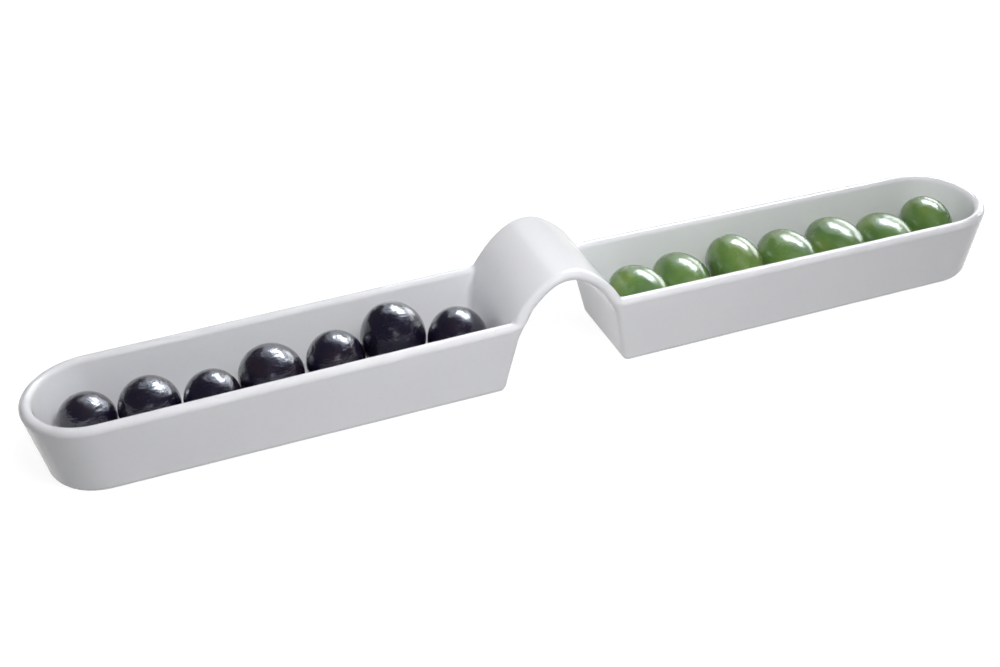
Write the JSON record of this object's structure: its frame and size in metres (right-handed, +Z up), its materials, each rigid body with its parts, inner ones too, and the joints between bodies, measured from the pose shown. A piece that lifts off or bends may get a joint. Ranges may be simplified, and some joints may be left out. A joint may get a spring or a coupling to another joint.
{
  "type": "olive dish",
  "caption": "Long white porcelain olive dish: two straight troughs with round far ends, joined by an arched strap handle, with a row of loose black olives and a row of green ones.",
  "frame": {"origin": "centre of the dish in plan, on the table plane under the feet", "axes": "+X along the dish toward the green olives, +Y across it to the back, +Z up"},
  "size_m": [0.36, 0.045, 0.0444],
  "materials": {
    "porcelain": "clear gloss glaze over white porcelain",
    "black_olive": "smooth wet olive skin, very dark purple",
    "green_olive": "smooth wet olive skin, olive green"
  },
  "bodies": {
    "dish": {"left_trough": "porcelain", "right_trough": "porcelain", "bridge_handle": "porcelain"},
    "black_olive_1": {"black_olive_1": "black_olive"},
    "black_olive_2": {"black_olive_2": "black_olive"},
    "black_olive_3": {"black_olive_3": "black_olive"},
    "black_olive_4": {"black_olive_4": "black_olive"},
    "black_olive_5": {"black_olive_5": "black_olive"},
    "black_olive_6": {"black_olive_6": "black_olive"},
    "black_olive_7": {"black_olive_7": "black_olive"},
    "green_olive_1": {"green_olive_1": "green_olive"},
    "green_olive_2": {"green_olive_2": "green_olive"},
    "green_olive_3": {"green_olive_3": "green_olive"},
    "green_olive_4": {"green_olive_4": "green_olive"},
    "green_olive_5": {"green_olive_5": "green_olive"},
    "green_olive_6": {"green_olive_6": "green_olive"},
    "green_olive_7": {"green_olive_7": "green_olive"}
  },
  "joints": [
    {"name": "lift_black_olive_1", "type": "slide", "parent": "dish", "child": "black_olive_1", "axis": [0, 0, 1], "range_m": [0, 0.06]},
    {"name": "lift_black_olive_2", "type": "slide", "parent": "dish", "child": "black_olive_2", "axis": [0, 0, 1], "range_m": [0, 0.06]},
    {"name": "lift_black_olive_3", "type": "slide", "parent": "dish", "child": "black_olive_3", "axis": [0, 0, 1], "range_m": [0, 0.06]},
    {"name": "lift_black_olive_4", "type": "slide", "parent": "dish", "child": "black_olive_4", "axis": [0, 0, 1], "range_m": [0, 0.06]},
    {"name": "lift_black_olive_5", "type": "slide", "parent": "dish", "child": "black_olive_5", "axis": [0, 0, 1], "range_m": [0, 0.06]},
    {"name": "lift_black_olive_6", "type": "slide", "parent": "dish", "child": "black_olive_6", "axis": [0, 0, 1], "range_m": [0, 0.06]},
    {"name": "lift_black_olive_7", "type": "slide", "parent": "dish", "child": "black_olive_7", "axis": [0, 0, 1], "range_m": [0, 0.06]},
    {"name": "lift_green_olive_1", "type": "slide", "parent": "dish", "child": "green_olive_1", "axis": [0, 0, 1], "range_m": [0, 0.06]},
    {"name": "lift_green_olive_2", "type": "slide", "parent": "dish", "child": "green_olive_2", "axis": [0, 0, 1], "range_m": [0, 0.06]},
    {"name": "lift_green_olive_3", "type": "slide", "parent": "dish", "child": "green_olive_3", "axis": [0, 0, 1], "range_m": [0, 0.06]},
    {"name": "lift_green_olive_4", "type": "slide", "parent": "dish", "child": "green_olive_4", "axis": [0, 0, 1], "range_m": [0, 0.06]},
    {"name": "lift_green_olive_5", "type": "slide", "parent": "dish", "child": "green_olive_5", "axis": [0, 0, 1], "range_m": [0, 0.06]},
    {"name": "lift_green_olive_6", "type": "slide", "parent": "dish", "child": "green_olive_6", "axis": [0, 0, 1], "range_m": [0, 0.06]},
    {"name": "lift_green_olive_7", "type": "slide", "parent": "dish", "child": "green_olive_7", "axis": [0, 0, 1], "range_m": [0, 0.06]}
  ]
}
